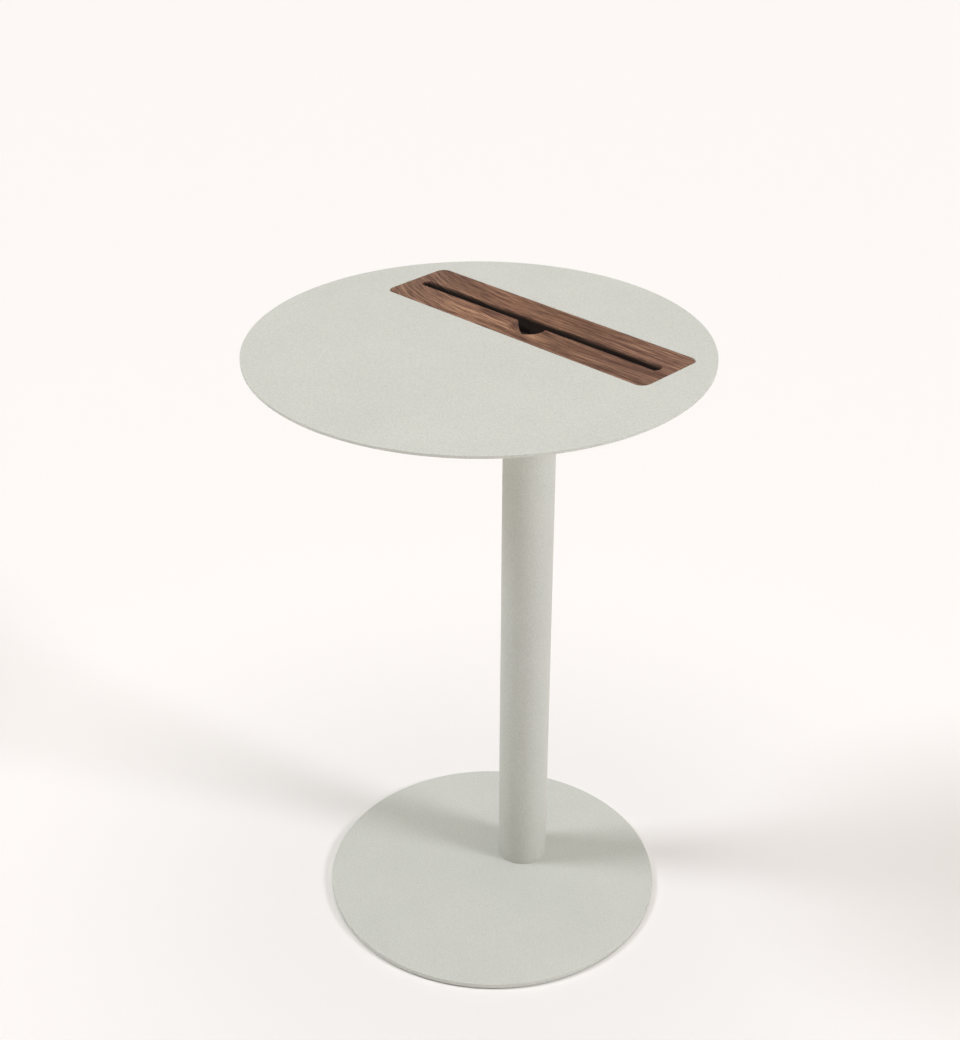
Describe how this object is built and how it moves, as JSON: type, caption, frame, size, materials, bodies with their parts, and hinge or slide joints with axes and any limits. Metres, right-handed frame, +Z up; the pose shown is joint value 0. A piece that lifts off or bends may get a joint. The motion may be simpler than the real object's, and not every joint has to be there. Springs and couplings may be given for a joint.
{
  "type": "tablet side table",
  "caption": "Round pedestal side table: thin steel top with a flush wooden insert, whose leaning slot and thumb scoop hold a tablet, on an off-centre column and a round base plate.",
  "frame": {"origin": "on the floor, under the centre of the round top", "axes": "+X along the wooden insert, +Y towards the back of the insert's side, away from the reader, +Z up"},
  "size_m": [0.415, 0.415, 0.61],
  "materials": {
    "powder_coat": "pale warm grey powder coat with a fine matt texture",
    "walnut": "oiled walnut, grain along its length",
    "zinc_steel": "bright zinc plate",
    "felt": "dense dark grey felt"
  },
  "bodies": {
    "root": {"tabletop_plate": "powder_coat", "walnut_insert": "walnut", "insert_tray": "powder_coat", "column_head_plate": "powder_coat", "column_tube": "powder_coat", "column_foot_plug": "zinc_steel", "base_plate": "powder_coat", "tray_stud_1": "zinc_steel", "tray_stud_2": "zinc_steel", "tray_stud_3": "zinc_steel", "tray_stud_4": "zinc_steel", "tray_stud_5": "zinc_steel", "tray_stud_6": "zinc_steel", "tray_nut_1": "zinc_steel", "tray_nut_2": "zinc_steel", "tray_nut_3": "zinc_steel", "tray_nut_4": "zinc_steel", "tray_nut_5": "zinc_steel", "tray_nut_6": "zinc_steel", "insert_screw_1": "zinc_steel", "insert_screw_2": "zinc_steel", "insert_screw_3": "zinc_steel", "insert_screw_4": "zinc_steel", "clinch_nut_1": "zinc_steel", "clinch_nut_2": "zinc_steel", "clinch_nut_3": "zinc_steel", "clinch_nut_4": "zinc_steel", "head_washer_1": "zinc_steel", "head_washer_2": "zinc_steel", "head_washer_3": "zinc_steel", "head_washer_4": "zinc_steel", "head_screw_1": "zinc_steel", "head_screw_2": "zinc_steel", "head_screw_3": "zinc_steel", "head_screw_4": "zinc_steel", "base_screw_1": "zinc_steel", "base_screw_2": "zinc_steel", "base_screw_3": "zinc_steel", "base_glide_1": "felt", "base_glide_2": "felt", "base_glide_3": "felt", "base_glide_4": "felt", "base_glide_5": "felt", "base_glide_6": "felt"}
  },
  "joints": []
}
